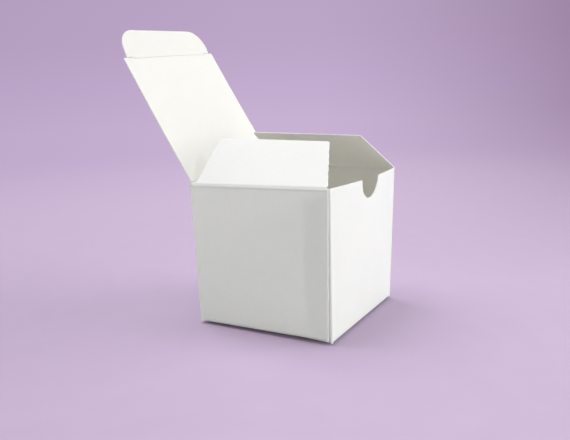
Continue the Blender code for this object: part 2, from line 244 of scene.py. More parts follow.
# The walls' path round the carton, at the middle of the board, from the glue tab's free end.
# A line has its start and direction, and an arc has its centre and first angle; then the length.
PATH = (
    ("line", (-(TAB_FACE - BOARD / 2), -CENTRE + TAB_RUN), (0, -1), TAB_RUN),
    ("arc", (-TAB_X, -CENTRE), math.pi, BEND),
    ("line", (-TAB_X, -MID_FACE), (1, 0), TAB_X + CENTRE),
    ("arc", (CENTRE, -CENTRE), -TURN, BEND),
    ("line", (MID_FACE, -CENTRE), (0, 1), 2 * CENTRE),
    ("arc", (CENTRE, CENTRE), 0, BEND),
    ("line", (CENTRE, MID_FACE), (-1, 0), 2 * CENTRE),
    ("arc", (-CENTRE, CENTRE), TURN, BEND),
    ("line", (-MID_FACE, CENTRE), (0, -1), SEAM_RUN),
)
STARTS = np.concatenate([[0], np.cumsum([part[3] for part in PATH])])
TAB, TAB_BEND, FRONT, FRONT_RIGHT, RIGHT, BACK_RIGHT, BACK, BACK_LEFT, LEFT, SEAM = STARTS

# The camera: its angles, its focal length over the picture's width, both in pixels, and how far
# the middle of the box is from it and off its axis, in box widths
AZIMUTH = math.radians(-59.7475)
ELEVATION = math.radians(12.1386)
ROLL = math.radians(-2.2045)
FOCAL, PICTURE_WIDTH = 677.61, 570
DISTANCE, OFF_RIGHT, OFF_UP = 4.68103, 0.09032, -0.13544
SENSOR = 36
CLIP = (0.02, 50)

# The lamps: their name, direction, and what they add on a surface that faces them
AMBIENT = 0.42
LAMPS = (("key", (0.5, -1.0, 0.2), 0.87),
         ("overhead", (0.0, 0.05, 1.0), 0.20),
         ("behind", (0.0, 0.5, 1.0), 0.60))
LAMP_DISTANCE = 3.0
LAMP_SIZE = 2.4
LAMP_TARGET = Vector((0, 0, 0.06))

# The floor, which fades into the backdrop with distance. Both are shaded as seen from
# SIGHT_POINT: they are dimmer towards the left and right, and the backdrop is paler lower down.
FLOOR_SIZE = 40.0
FLOOR_TONES = ((0.545, 0.431, 0.599), (0.558, 0.443, 0.614))
FLOOR_BOUNCE = (0.66, 0.66, 0.645)
FLOOR_FADE = (0.25, 0.9)
FLOOR_CLOUD = 60
SIGHT_POINT = (-0.302, -0.169, 0.123)
SIDEWAYS = (0.504, -0.864, 0.0)
DARK_RIGHT = (0.67, 0.62, 0.65)
RIGHT_SPAN = (0.04, 0.40)
RIGHT_POWER = 1.6
RIGHT_HEIGHTS = (-0.29, -0.06)
DIM_LEFT = (0.91, 0.91, 0.92)
LEFT_SPAN = (-0.05, -0.40)
BACKDROP_SPAN = (-0.25, 0.15)
BACKDROP_TONES = ((0.0, (0.631, 0.505, 0.720)), (0.17, (0.604, 0.474, 0.694)),
                  (0.31, (0.580, 0.447, 0.660)), (0.455, (0.572, 0.445, 0.652)),
                  (0.60, (0.538, 0.412, 0.622)), (0.75, (0.508, 0.382, 0.577)),
                  (0.875, (0.493, 0.376, 0.565)), (1.0, (0.480, 0.366, 0.550)))


def wobble(t, seed, pitch):
    """A smooth, seeded wave of about this pitch, between about -1 and 1."""
    total = np.zeros_like(t)
    for k in range(5):
        rate = (1 + 0.73 * k) * 2 * math.pi / pitch
        total += np.sin(rate * t + seed * (1.7 + k) + 2.1 * k) / (1 + 0.5 * k)
    return total / 2.5


def nicks(t, seed):
    """Small uneven nicks along a torn cut, between 0 and 1."""
    depth = 0.6 + 0.4 * np.sin(2.3 * t / MM + seed)
    return depth * np.abs(np.sin(math.pi * t / NICK_PITCH + 0.8 * np.sin(0.9 * t / MM + seed))) ** 4


def ease(t):
    """Smooth step from 0 to 1."""
    t = np.clip(t, 0, 1)
    return t * t * (3 - 2 * t)


def columns(stations):
    """Stations (u, low, high) along a strip, filled in so that no step is wider than PITCH."""
    filled = [stations[0]]
    for here, there in zip(stations, stations[1:]):
        count = max(1, math.ceil(abs(there[0] - here[0]) / PITCH - 1e-6))
        for k in range(1, count + 1):
            filled.append(tuple(a + (b - a) * k / count for a, b in zip(here, there)))
    return np.array(filled)


def arc_points(centre, radius, start, end, height, count):
    """Points (u, height) of an arc in the blank's plane."""
    points = []
    for k in range(count + 1):
        angle = start + (end - start) * k / count
        points.append((centre + radius * math.cos(angle), height + radius * math.sin(angle)))
    return points


def directions(place, u, v):
    """The middle of the board at each point, its directions along u and v, and its normal."""
    along = place(u + PROBE, v) - place(u - PROBE, v)
    across = place(u, v + PROBE) - place(u, v - PROBE)
    normal = np.cross(along, across)
    normal /= np.linalg.norm(normal, axis=-1, keepdims=True)
    along /= np.linalg.norm(along, axis=-1, keepdims=True)
    return place(u, v), along, np.cross(normal, along), normal


def rim_of(rows, cols):
    """The rows and columns of the grid's points round its rim, in order."""
    rim = [(0, j) for j in range(cols)] + [(i, cols - 1) for i in range(1, rows)]
    rim += [(rows - 1, j) for j in range(cols - 2, -1, -1)]
    rim += [(i, 0) for i in range(rows - 2, 0, -1)]
    return tuple(np.array(rim).T)


def sheet_points(u, v, place, rim, seed, bevel):
    """The points of a closed sheet: the outside's, the inside's, then the cut edge's middle."""
    middle, along, across, normal = directions(place, u, v)
    outer = middle + normal * BOARD / 2
    outer[:, -1] -= bevel * along[:, -1]
    inner = middle - normal * BOARD / 2

    # The cut edge stands out a little, by a burr
    flat = np.stack([u[rim], v[rim]], axis=1)
    edge = np.roll(flat, -1, axis=0) - np.roll(flat, 1, axis=0)
    edge /= np.maximum(np.linalg.norm(edge, axis=1, keepdims=True), 1e-9)
    burr = BURR * (1 + 0.8 * wobble(np.arange(len(flat)) * 1.0, seed + 5, BURR_PITCH))
    out = along[rim] * (edge[:, 1] * burr)[:, None]
    out -= across[rim] * (edge[:, 0] * burr)[:, None]
    lean_in = np.where(rim[1] == u.shape[1] - 1, bevel / 2, 0)[:, None]
    cut = middle[rim] + out - along[rim] * lean_in
    return np.concatenate([outer.reshape(-1, 3), inner.reshape(-1, 3), cut])


def sheet_quads(rows, cols, rim):
    """The quads of a closed sheet's outside, inside and cut edge."""
    count = rows * cols
    grid = np.arange(count).reshape(rows, cols)
    outside = np.stack([grid[:-1, :-1], grid[:-1, 1:], grid[1:, 1:], grid[1:, :-1]], -1)
    outside = outside.reshape(-1, 4)
    inside = outside[:, ::-1] + count
    a = grid[rim]
    m = 2 * count + np.arange(len(a))
    b = a + count
    next_a, next_m, next_b = (np.roll(points, -1) for points in (a, m, b))
    cut = [np.stack([a, m, next_m, next_a], -1), np.stack([m, b, next_b, next_m], -1)]
    return outside, inside, np.concatenate(cut)


def add_attribute(mesh, name, kind, field, values):
    """Gives each point of a mesh a value that its material reads."""
    made = mesh.attributes.new(name, kind, "POINT")
    made.data.foreach_set(field, values.astype(np.float32).ravel())


def board(name, u, v, place, fold, rough, seed, bevel=0.0):
    """A closed sheet of board over a grid of points (u, v) of the blank.

    place gives the middle of the board. fold gives how near a fold each point is, from 0 to 1.
    rough is how ragged the cut is on the low-v, high-u, high-v and low-u edges. bevel is how far
    the cut of the high-u edge leans in on the outside.
    """
    u, v = u.copy(), v.copy()
    low, right, high, left = rough
    v[0] += low * wobble(u[0], seed, RAGGED_PITCH)
    v[-1] += high * wobble(u[-1], seed + 1, RAGGED_PITCH)
    u[:, 0] += left * wobble(v[:, 0], seed + 2, RAGGED_PITCH)
    u[:, -1] += right * wobble(v[:, -1], seed + 3, RAGGED_PITCH)
    rim = rim_of(*u.shape)
    points = sheet_points(u, v, place, rim, seed, bevel)
    quads = sheet_quads(*u.shape, rim)
    mesh = bpy.data.meshes.new(name)
    mesh.from_pydata(points.tolist(), [], np.concatenate(quads).tolist())
    for look in (OUTSIDE, INSIDE, CUT):
        mesh.materials.append(look)
    index = np.repeat(np.arange(3), [len(part) for part in quads])
    mesh.polygons.foreach_set("material_index", index.astype(np.int32))
    mesh.shade_smooth()
    mesh.set_sharp_from_angle(angle=SHARP)

    # Where each point lies in the blank, for the noises, and how near it is to a fold
    home = np.concatenate([
        np.stack([u.ravel(), v.ravel(), np.full(u.size, BOARD / 2)], -1),
        np.stack([u.ravel(), v.ravel(), np.full(u.size, -BOARD / 2)], -1),
        np.stack([u[rim], v[rim], np.zeros(len(rim[0]))], -1)])
    add_attribute(mesh, "blank", "FLOAT_VECTOR", "vector", home + seed * BLANK_SHIFT)
    near = fold(u, v)
    near = np.concatenate([near.ravel(), near.ravel(), near[rim]])
    add_attribute(mesh, "crease", "FLOAT", "value", near)
    mesh.validate()
    piece = bpy.data.objects.new(name, mesh)
    bpy.context.scene.collection.objects.link(piece)
    return piece


def lean(x, y, z):
    """How far a place of the square box moves as the walls rack and their corners drift."""
    right = np.clip(x / WIDTH + 0.5, 0, 1)[..., None]
    front = np.clip(0.5 - y / WIDTH, 0, 1)[..., None]
    height = np.maximum(z / HEIGHT, 0)[..., None]
    left_side = (1 - front) * MOUTH_BACK_LEFT + front * MOUTH_FRONT_LEFT
    right_side = (1 - front) * MOUTH_BACK_RIGHT + front * MOUTH_FRONT_RIGHT
    moved = height * ((1 - right) * left_side + right * right_side)
    moved += (1 - height) * (1 - right) * (front * FOOT_FRONT_LEFT + (1 - front) * FOOT_BACK_LEFT)
    moved[..., 1] -= RACK * (x / WIDTH + 0.5) * (z / HEIGHT - 0.5)
    return moved


def fold_line(start, end, height):
    """A fold between two places (x, y) of the square box: its middle, direction, and rise.

    The rise is a function that gives which way the wall below it goes up at u along the fold.
    """
    start, end = np.array((*start, height)), np.array((*end, height))

    def place(share, z):
        point = start + np.asarray(share)[..., None] * (end - start)
        point[..., 2] = z
        return point + lean(point[..., 0], point[..., 1], point[..., 2])

    first, last = place(0.0, height), place(1.0, height)
    length = np.linalg.norm(last - first)

    def rise(u):
        share = u / length + 0.5
        step = place(share, height) - place(share, height - WALL_STRIP)
        return step / np.linalg.norm(step, axis=-1, keepdims=True)

    return (first + last) / 2, (last - first) / length, rise


def girth(u, v):
    """The middle of the walls' board at a distance u round the carton and a height v."""
    x, y = np.zeros_like(u), np.zeros_like(u)
    for k, (kind, point, turn, _) in enumerate(PATH):
        first = u >= STARTS[k] if k else np.ones_like(u, bool)
        last = u < STARTS[k + 1] if k < len(PATH) - 1 else np.ones_like(u, bool)
        here = first & last
        run = u - STARTS[k]
        if kind == "line":
            x = np.where(here, point[0] + turn[0] * run, x)
            y = np.where(here, point[1] + turn[1] * run, y)
        else:
            angle = turn + run / MID_CORNER
            x = np.where(here, point[0] + MID_CORNER * np.cos(angle), x)
            y = np.where(here, point[1] + MID_CORNER * np.sin(angle), y)
    across = 2 * (u - FRONT) / (FRONT_RIGHT - FRONT) - 1
    height = np.maximum((v - FRONT_FOOT) / (FRONT_TOP - FRONT_FOOT), 0)
    bow = FRONT_BOW * np.clip(1 - across ** 2, 0, 1) * height ** BOW_POWER
    return np.stack([x, y - bow, v], -1) + lean(x, y, v)


def corner_crease(u, v):
    """How near each point of the walls is to an upright fold."""
    near = np.zeros_like(u)
    for start in (TAB_BEND, FRONT_RIGHT, BACK_RIGHT, BACK_LEFT):
        middle = start + BEND / 2
        near = np.maximum(near, np.exp(-((u - middle) / CREASE_WIDTH) ** 2))
    return near


def wall(name, stations, row_count, rough, seed, taper=0.0, bevel=0.0):
    """A standing wall of the carton from its stations (u, foot, top).

    taper is how much shorter its last end is at the foot than at the top.
    """
    table = columns(stations)
    share = np.linspace(0, 1, row_count)[:, None]
    u = np.repeat(table[None, :, 0], row_count, axis=0)
    v = table[None, :, 1] * (1 - share) + table[None, :, 2] * share
    last = table[-1, 0]
    u = u - taper * (1 - v / HEIGHT) * np.clip((u - last + SEAM_TAPER_RUN) / SEAM_TAPER_RUN, 0, 1)
    piece = board(name, u, v, girth, corner_crease, rough, seed, bevel)
    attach(piece, "carton")
    return piece


def bend(low, high, before, after):
    """Stations round an upright fold or a part of it, from (foot, top) before to after."""
    return [(low + (high - low) * k / BEND_STEPS,
             before[0] + (after[0] - before[0]) * k / BEND_STEPS,
             before[1] + (after[1] - before[1]) * k / BEND_STEPS) for k in range(BEND_STEPS + 1)]


def step_at(u, before, after):
    """The two stations where an outline steps at u from (foot, top) before to after."""
    return [(u, *before), (u + STEP, *after)]


def bezier(t, start, end, a, b, c):
    """A smooth corner from a towards b and on to c, while t goes from start to end."""
    share = np.clip((t - start) / (end - start), 0, 1)
    return a * (1 - share) ** 2 + 2 * share * (1 - share) * b + c * share ** 2


def folded(origin, along, rise, across, reach, shape):
    """The middle of a panel that is folded out of its wall's rise at a fold line.

    u runs along the fold and v across it: below -reach on the wall, above reach on the panel.
    The fold itself is a flat facet between two small bends, as a pressed crease gives it. shape
    gives how far each point of the panel is moved from there.
    """
    def place(u, v):
        middle = origin + u[..., None] * along
        up = rise(u) if callable(rise) else rise
        t = np.clip((v + reach) / (2 * reach), 0, 1)[..., None]
        before, after = middle - reach * up, middle + reach * across
        low, high = middle - FACET * reach * up, middle + FACET * reach * across
        first, last = low + BEND_END * (high - low), low + (1 - BEND_END) * (high - low)
        point = np.where(t < BEND_SHARE,
                         bezier(t, 0, BEND_SHARE, before, low, first),
                         bezier(t, 1 - BEND_SHARE, 1, last, high, after))
        facet = first + (last - first) * (t - BEND_SHARE) / (1 - 2 * BEND_SHARE)
        point = np.where((t >= BEND_SHARE) & (t <= 1 - BEND_SHARE), facet, point)
        point = point + np.maximum(v - reach, 0)[..., None] * across
        point = point + np.minimum(v + reach, 0)[..., None] * up
        return point + shape(u, v)
    return place


def opened(axis, opening):
    """The direction of a panel that is opened by this angle from lying level inward."""
    inward = np.cross(UP, axis)
    return math.cos(opening) * inward + math.sin(opening) * UP


def rows_over_fold(table, reach, fold_rows, body_rows):
    """Rows of v for each column: evenly over the fold, then evenly over the panel."""
    low, high = table[None, :, 1], table[None, :, 2]
    first = np.linspace(0, 1, fold_rows)[:, None]
    rest = np.linspace(0, 1, body_rows + 1)[1:, None]
    lower = low + (np.minimum(reach, high) - low) * first
    upper = reach + (high - reach) * rest
    v = np.concatenate([lower, upper])
    return np.repeat(table[None, :, 0], len(v), axis=0), v


def fold_crease(reach):
    """How near each point of a panel is to its own fold, at v = 0."""
    return lambda u, v: np.exp(-(v / (CREASE_SHARE * reach)) ** 2)


def material(name):
    """A new material with its tree and its shader."""
    made = bpy.data.materials.new(name)
    made.use_nodes = True
    tree = made.node_tree
    return made, tree, tree.nodes["Principled BSDF"]


def feed(tree, made, inputs):
    """Feeds a node's inputs, each from another node's socket or with a constant."""
    for key, value in inputs.items():
        if isinstance(value, bpy.types.NodeSocket):
            tree.links.new(value, made.inputs[key])
        else:
            made.inputs[key].default_value = value


def node(tree, kind, inputs, **settings):
    """Adds a node with these settings and inputs."""
    made = tree.nodes.new(kind)
    for key, value in settings.items():
        setattr(made, key, value)
    feed(tree, made, inputs)
    return made


def attribute(tree, name, output):
    """A value that a sheet's points carry."""
    return node(tree, "ShaderNodeAttribute", {}, attribute_name=name).outputs[output]


def noise(tree, vector, scale, detail, rough=0.55, stretch=None):
    """Noise over the blank, with its scale given per metre."""
    if stretch is not None:
        mapping = node(tree, "ShaderNodeMapping", {"Vector": vector, "Scale": stretch})
        vector = mapping.outputs["Vector"]
    inputs = {"Vector": vector, "Scale": scale, "Detail": detail, "Roughness": rough}
    return node(tree, "ShaderNodeTexNoise", inputs).outputs["Fac"]


def ramp(tree, factor, stops):
    """A colour ramp over a factor."""
    made = node(tree, "ShaderNodeValToRGB", {"Fac": factor})
    while len(made.color_ramp.elements) > 1:
        made.color_ramp.elements.remove(made.color_ramp.elements[-1])
    first = made.color_ramp.elements[0]
    first.position, first.color = stops[0][0], (*stops[0][1], 1)
    for position, colour in stops[1:]:
        made.color_ramp.elements.new(position).color = (*colour, 1)
    return made.outputs["Color"]


def mixed(tree, factor, first, second):
    """A colour mix of two sockets or colours."""
    inputs = {"Factor": factor, "A": first, "B": second}
    return node(tree, "ShaderNodeMix", inputs, data_type="RGBA").outputs["Result"]


def calculated(tree, operation, first, second=0.0):
    """One arithmetic node of two sockets or numbers."""
    made = node(tree, "ShaderNodeMath", {0: first, 1: second}, operation=operation)
    return made.outputs["Value"]


def vector_node(tree, operation, output, *values):
    """One vector arithmetic node of sockets or vectors."""
    made = node(tree, "ShaderNodeVectorMath", dict(enumerate(values)), operation=operation)
    return made.outputs[output]


def spread(tree, value, start, end, low=0.0, high=1.0, curve="LINEAR"):
    """A value's way from start to end, given as low to high."""
    inputs = {"Value": value, "From Min": start, "From Max": end, "To Min": low, "To Max": high}
    made = node(tree, "ShaderNodeMapRange", inputs, interpolation_type=curve)
    return made.outputs["Result"]


def add_bump(tree, shader, height, strength, distance):
    """Gives a shader fine relief."""
    inputs = {"Height": height, "Strength": strength, "Distance": distance}
    feed(tree, shader, {"Normal": node(tree, "ShaderNodeBump", inputs).outputs["Normal"]})


def paperboard(name, clean, shaded, strained_and_highlit, roughness, fibre, relief):
    """Paperboard: cloudy tone, fine fibre, and folds lighter from strain and a painted highlight.

    fibre is how much darker the fibres are than the clean tone.
    """
    made, tree, shader = material(name)
    blank = attribute(tree, "blank", "Vector")
    cloud = noise(tree, blank, CLOUD, 3.0)
    grain = noise(tree, blank, FIBRE, 4.0, 0.6, (1.0, 0.45, 1.0))
    tone = ramp(tree, cloud, ((0.3, shaded), (0.7, clean)))
    flecks = ramp(tree, grain, ((0.3, tuple(c * (1 - fibre) for c in clean)), (0.62, clean)))
    colour = mixed(tree, 0.4, tone, flecks)
    crease = attribute(tree, "crease", "Fac")
    # Folds are painted lighter: partly the coating's strain, partly a painted highlight where the
    # bend catches light
    strain_and_highlight = calculated(tree, "MULTIPLY", crease, noise(tree, blank, STRAIN_AND_HIGHLIGHT, 2.0))
    ripple = calculated(tree, "MULTIPLY", noise(tree, blank, RIPPLE, 2.0), 1.2)
    feed(tree, shader, {
        "Base Color": mixed(tree, strain_and_highlight, colour, (*strained_and_highlit, 1)),
        "Roughness": spread(tree, cloud, 0.0, 1.0, roughness - 0.06, roughness + 0.06),
        "Specular IOR Level": 0.35,
        "Subsurface Weight": TRANSLUCENCY,
        "Subsurface Radius": (1.0, 0.96, 0.88),
        "Subsurface Scale": LIGHT_REACH})
    add_bump(tree, shader, calculated(tree, "ADD", grain, ripple), relief, 0.08 * MM)
    return made


def cut_edge(name):
    """The raw cut edge of the board: pale grey-pink plies under the white faces."""
    made, tree, shader = material(name)
    blank = attribute(tree, "blank", "Vector")
    parts = node(tree, "ShaderNodeSeparateXYZ", {"Vector": blank})
    depth = calculated(tree, "ABSOLUTE", parts.outputs["Z"])
    plies = noise(tree, blank, PLIES, 3.0, 0.6, (0.2, 0.2, 1.0))
    core = ramp(tree, plies, ((0.3, (0.86, 0.825, 0.83)), (0.65, (0.93, 0.905, 0.905))))
    coat = spread(tree, depth, 0.3 * BOARD, 0.45 * BOARD)
    feed(tree, shader, {
        "Base Color": mixed(tree, coat, core, (0.93, 0.925, 0.92, 1)),
        "Roughness": 0.85,
        "Specular IOR Level": 0.2})
    add_bump(tree, shader, noise(tree, blank, CUT_FIBRE, 3.0), 0.5, 0.1 * MM)
    return made


def dried_glue(name):
    """Dried glue: slightly yellow and glossy, with small bubbles."""
    made, tree, shader = material(name)
    place = node(tree, "ShaderNodeTexCoord", {}).outputs["Object"]
    tone = noise(tree, place, GLUE_CLOUD, 3.0)
    bubbles = node(tree, "ShaderNodeTexVoronoi", {"Vector": place, "Scale": GLUE_BUBBLES})
    feed(tree, shader, {
        "Base Color": ramp(tree, tone, ((0.3, (0.70, 0.65, 0.50)), (0.7, (0.82, 0.78, 0.64)))),
        "Roughness": 0.4})
    add_bump(tree, shader, bubbles.outputs["Distance"], 0.4, 0.05 * MM)
    return made


def notch_outline():
    """Places (x, z) along the thumb notch, from left to right."""
    bowl = FRONT_TOP - NOTCH_DEPTH + NOTCH_RADIUS
    flare = NOTCH_RADIUS + NOTCH_MOUTH
    left = arc_points(-flare, NOTCH_MOUTH, TURN, 0, FRONT_TOP - NOTCH_MOUTH, count=6)
    middle = arc_points(0, NOTCH_RADIUS - STEP, -math.pi, 0, bowl, count=48)
    right = [(-x, z) for x, z in reversed(left)]
    return left + middle + right


def make_front_wall():
    """The front wall with the glue tab, the thumb notch and half of the front right fold."""
    def at(x):
        return FRONT + TAB_X + x

    whole = (FRONT_FOOT, FRONT_TOP)
    raised = (FRONT_FOOT + WALL_LOW, FRONT_TOP)
    tab_foot, tab_top = FRONT_FOOT + TAB_DROP, FRONT_TOP - TAB_DROP
    stations = [(TAB, tab_foot + TAB_TAPER, tab_top - TAB_TAPER),
                (TAB_BEND - TAB_NECK, tab_foot, tab_top),
                (TAB_BEND, FRONT_FOOT + TAB_NECK_DROP, FRONT_TOP - TAB_NECK_DROP)]
    stations += bend(TAB_BEND + STEP, FRONT - STEP, whole, whole)
    stations += step_at(at(-TONGUE_ROOT) - STEP, whole, raised)
    stations += [(at(x), raised[0], z) for x, z in notch_outline()]
    stations += step_at(at(TONGUE_ROOT), raised, whole)
    stations += bend(FRONT_RIGHT, FRONT_RIGHT + BEND / 2, whole, FRONT_RIGHT_MIDDLE)
    front = wall("front_board", stations, FRONT_ROWS, (RAGGED, 0, RAGGED, RAGGED), seed=1.0)
    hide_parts("front_wall", "glue_tab_fold", "glue_tab")


def make_right_wall():
    """The right wall, under the far dust flap, with half of the folds beside it."""
    def at(y):
        return RIGHT + CENTRE + y

    whole, under_flap, panel = (0, SHOULDER), (0, SIDE_TOP), (WALL_LOW, SIDE_TOP)
    stations = bend(FRONT_RIGHT + BEND / 2, RIGHT, FRONT_RIGHT_MIDDLE, whole)
    stations += step_at(at(-FAR_FLAP.root) - STEP, whole, under_flap)
    stations += step_at(at(-FLAP_FRONT) - STEP, under_flap, panel)
    stations += step_at(at(FLAP_BACK), panel, under_flap)
    stations += step_at(at(DUST_ROOT_BACK), under_flap, whole)
    stations += bend(BACK_RIGHT, BACK_RIGHT + BEND / 2, whole, (0, LID_TOP))
    right = wall("right_board", stations, WALL_ROWS, (RAGGED, 0, RAGGED, 0), seed=2.0)
    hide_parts("right_wall", "front_right_fold")


def make_back_wall():
    """The back wall, under the lid, with half of the folds beside it."""
    def at(x):
        return BACK + CENTRE - x

    whole, raised = (0, LID_TOP), (WALL_LOW, LID_TOP)
    stations = bend(BACK_RIGHT + BEND / 2, BACK, whole, whole)
    stations += step_at(at(SLOT_ROOT) - STEP, whole, raised)
    stations += step_at(at(-SLOT_ROOT), raised, whole)
    stations += bend(BACK_LEFT, BACK_LEFT + BEND / 2, whole, whole)
    back = wall("back_board", stations, WALL_ROWS, (RAGGED, 0, 0, 0), seed=3.0)
    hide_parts("back_wall", "back_right_fold")


def make_left_wall():
    """The left wall, under the near dust flap, from its fold to its free end at the seam."""
    def steps(y, lead, before, after):
        foot = LEFT_FOOT_RISE * (CENTRE - y) / SEAM_RUN
        pair = step_at(LEFT + CENTRE - y - lead, before, after)
        return [(u, foot + low, top) for u, low, top in pair]

    whole, under_flap, panel = (0, SHOULDER), (0, SIDE_TOP), (WALL_LOW, SIDE_TOP)
    stations = bend(BACK_LEFT + BEND / 2, LEFT, (0, LID_TOP), whole)
    stations += steps(DUST_ROOT_BACK, STEP, whole, under_flap)
    stations += steps(FLAP_BACK, STEP, under_flap, panel)
    stations += steps(-FLAP_FRONT, 0, panel, under_flap)
    stations += steps(-NEAR_FLAP.root, 0, under_flap, whole)
    stations += [(SEAM, LEFT_FOOT_RISE, SHOULDER)]
    left = wall("left_board", stations, WALL_ROWS, (RAGGED, RAGGED_SEAM, RAGGED, 0), seed=4.0,
                taper=SEAM_TAPER, bevel=SEAM_BEVEL)
    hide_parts("left_wall", "back_left_fold")


def slit_drop(x):
    """How far the slits beside the tuck fold curve down into the lid towards their inner ends."""
    share = min(max((TUCK_HALF - TUCK_SLIT + HOOK_RUN - abs(x)) / HOOK_RUN, 0), 1)
    return HOOK * (1 - math.sqrt(1 - share ** 2))


def make_lid():
    """The lid on the back wall's fold, cut along the curved slits at both ends of the tuck fold.

    Gives the function that places its points.
    """
    origin, along, rise = fold_line((WIDTH / 2, MID_FACE), (-WIDTH / 2, MID_FACE), LID_FOLD)
    across = opened(along, LID_OPENING)
    normal = np.cross(along, across)

    def shape(u, v):
        run = np.clip((v - LID_REACH) / (LID_LENGTH - LID_REACH), 0, 1)
        left = np.clip(0.5 + u / WIDTH, 0, 1)[..., None]
        tip = run[..., None] * (left * LID_TIP_LEFT + (1 - left) * LID_TIP_RIGHT)
        return tip + (LID_CURL * 4 * run * (1 - run))[..., None] * normal

    place = folded(origin, along, rise, across, LID_REACH, shape)
    inner, top = TUCK_HALF - TUCK_SLIT, LID_LENGTH - SLIT / 2
    right = [(inner - STEP, LID_LENGTH - TUCK_REACH)]
    for k in range(HOOK_STEPS + 1):
        x = inner + HOOK_RUN * k / HOOK_STEPS
        right.append((x, top - HOOK_DEPTH * slit_drop(x)))
    right += [(LID_HALF - LID_CORNER, top),
              (LID_HALF - LID_CORNER / 3, top - LID_CORNER / 3),
              (LID_HALF, top - LID_CORNER)]
    outline = [(-x, y) for x, y in reversed(right)] + right
    table = columns([(x, -LID_REACH, y) for x, y in outline])
    u, v = rows_over_fold(table, LID_REACH, fold_rows=11, body_rows=40)
    lid = board("lid", u, v, place, fold_crease(LID_REACH), (0, TRIM, TRIM, TRIM), seed=5.0)
    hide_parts("lid_panel", "lid_fold")
    start, end = origin - LID_REACH * rise(0.0), origin + LID_REACH * across
    tuple(start)
    tuple(end)
    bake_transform(lid)
    return place


def make_tuck(lid_place):
    """The tuck flap, with its two free corners rounded and its fold slit at both ends."""
    ends = lid_place(np.array((-TUCK_HALF, TUCK_HALF)), np.array((LID_LENGTH, LID_LENGTH)))
    origin, along = (ends[0] + ends[1]) / 2, ends[1] - ends[0]
    along /= np.linalg.norm(along)
    below = lid_place(np.array((0.0,)), np.array((LID_LENGTH - LID_STRIP,)))[0]
    up = (origin - below) / np.linalg.norm(origin - below)
    across = np.array(Matrix.Rotation(-TUCK_FOLD, 3, Vector(along)) @ Vector(up))
    normal = np.cross(along, across)

    def shape(u, v):
        share = np.clip(v / TUCK_LENGTH, 0, 1) * np.clip(0.5 - u / (2 * TUCK_HALF), 0, 1)
        return share[..., None] * (TUCK_TWIST * normal - TUCK_SHORT * across)

    place = folded(origin, along, up, across, TUCK_REACH, shape)
    inner = TUCK_HALF - TUCK_SLIT - STEP
    stations = []
    for side, corner in TUCK_CORNERS.items():
        corner_x = TUCK_HALF - corner
        places = [inner]
        places += [inner + STEP + HOOK_RUN * k / HOOK_STEPS for k in range(HOOK_STEPS + 1)]
        places += [corner_x + corner * math.sin(TURN * k / CORNER_STEPS)
                   for k in range(CORNER_STEPS + 1)]
        for x in places:
            over = min(max(x - corner_x, 0), corner - 1e-9)
            top = TUCK_LENGTH - corner + math.sqrt(corner ** 2 - over ** 2)
            low = -TUCK_REACH if x <= inner else SLIT / 2 - slit_drop(x)
            stations.append((side * x, low, top))
    table = columns(sorted(stations))
    u, v = rows_over_fold(table, TUCK_REACH, fold_rows=9, body_rows=14)
    tuck = board("tuck", u, v, place, fold_crease(TUCK_REACH), (0, TRIM, TRIM, TRIM), seed=6.0)
    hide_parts("tuck_flap", "tuck_fold")
    start, end = origin - TUCK_REACH * up, origin + TUCK_REACH * across
    tuple(start)
    tuple(end)
    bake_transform(tuck)


def dust_limits(flap):
    """Rows (v, back, front) of a dust flap: tapered in front, relieved by an arc at the back."""
    relief = DUST_ROOT_BACK - flap.rear
    lift, straight = SIDE_REACH, flap.length - DUST_TIP

    def rounding(v):
        over = np.clip(v - straight, 0, DUST_TIP)
        return DUST_TIP - math.sqrt(DUST_TIP ** 2 - over ** 2)

    def front(v):
        run = max(v - lift, 0) / (flap.length - lift)
        return flap.root + (flap.tip - flap.root) * run - rounding(v)

    def back(v):
        below = min(max(lift + relief - max(v, lift), 0), relief)
        return -DUST_ROOT_BACK + math.sqrt(relief ** 2 - below ** 2) + rounding(v)

    heights = list(np.linspace(-SIDE_REACH, SIDE_REACH, DUST_FOLD_ROWS))
    heights += [lift + relief * (1 - math.cos(TURN * k / DUST_RELIEF_ROWS))
                for k in range(1, DUST_RELIEF_ROWS + 1)]
    count = math.ceil((straight - lift - relief) / flap.pitch)
    heights += list(np.linspace(lift + relief, straight, count))[1:]
    heights += [straight + DUST_TIP * math.sin(TURN * k / DUST_TIP_ROWS)
                for k in range(1, DUST_TIP_ROWS + 1)]
    heights = sorted(set(round(h, 8) for h in heights))
    return [(h, back(h), front(h)) for h in heights]


def make_dust_flap(side, facing, flap, seed):
    """A dust flap on a side wall's top fold; facing is +1 where u runs to the front."""
    x, y = facing * -MID_FACE, facing * WIDTH / 2
    origin, along, rise = fold_line((x, y), (x, -y), SIDE_FOLD)
    across = opened(along, flap.opening)
    normal = np.cross(along, across)

    def shape(u, v):
        run = np.clip((v - SIDE_REACH) / (flap.length - SIDE_REACH), 0, 1)
        return -(flap.twist * run * facing * u / flap.tip)[..., None] * normal

    place = folded(origin, along, rise, across, SIDE_REACH, shape)
    heights, back, front = np.array(dust_limits(flap)).T[:, :, None]
    v = np.repeat(heights, DUST_COLUMNS, axis=1)
    if facing > 0:
        low, high = back, front - NICK * nicks(heights, seed)
        rough = (0, flap.ragged, RAGGED, RAGGED)
    else:
        low, high = -front, -back
        rough = (0, RAGGED, RAGGED, flap.ragged)
    u = low + (high - low) * np.linspace(0, 1, DUST_COLUMNS)[None, :]
    piece = board(side + "_dust", u, v, place, fold_crease(SIDE_REACH), rough, seed)
    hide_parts(side + "_dust_flap", side + "_dust_fold")
    start, end = origin - SIDE_REACH * rise(0.0), origin + SIDE_REACH * across
    tuple(start)
    tuple(end)
    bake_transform(piece)


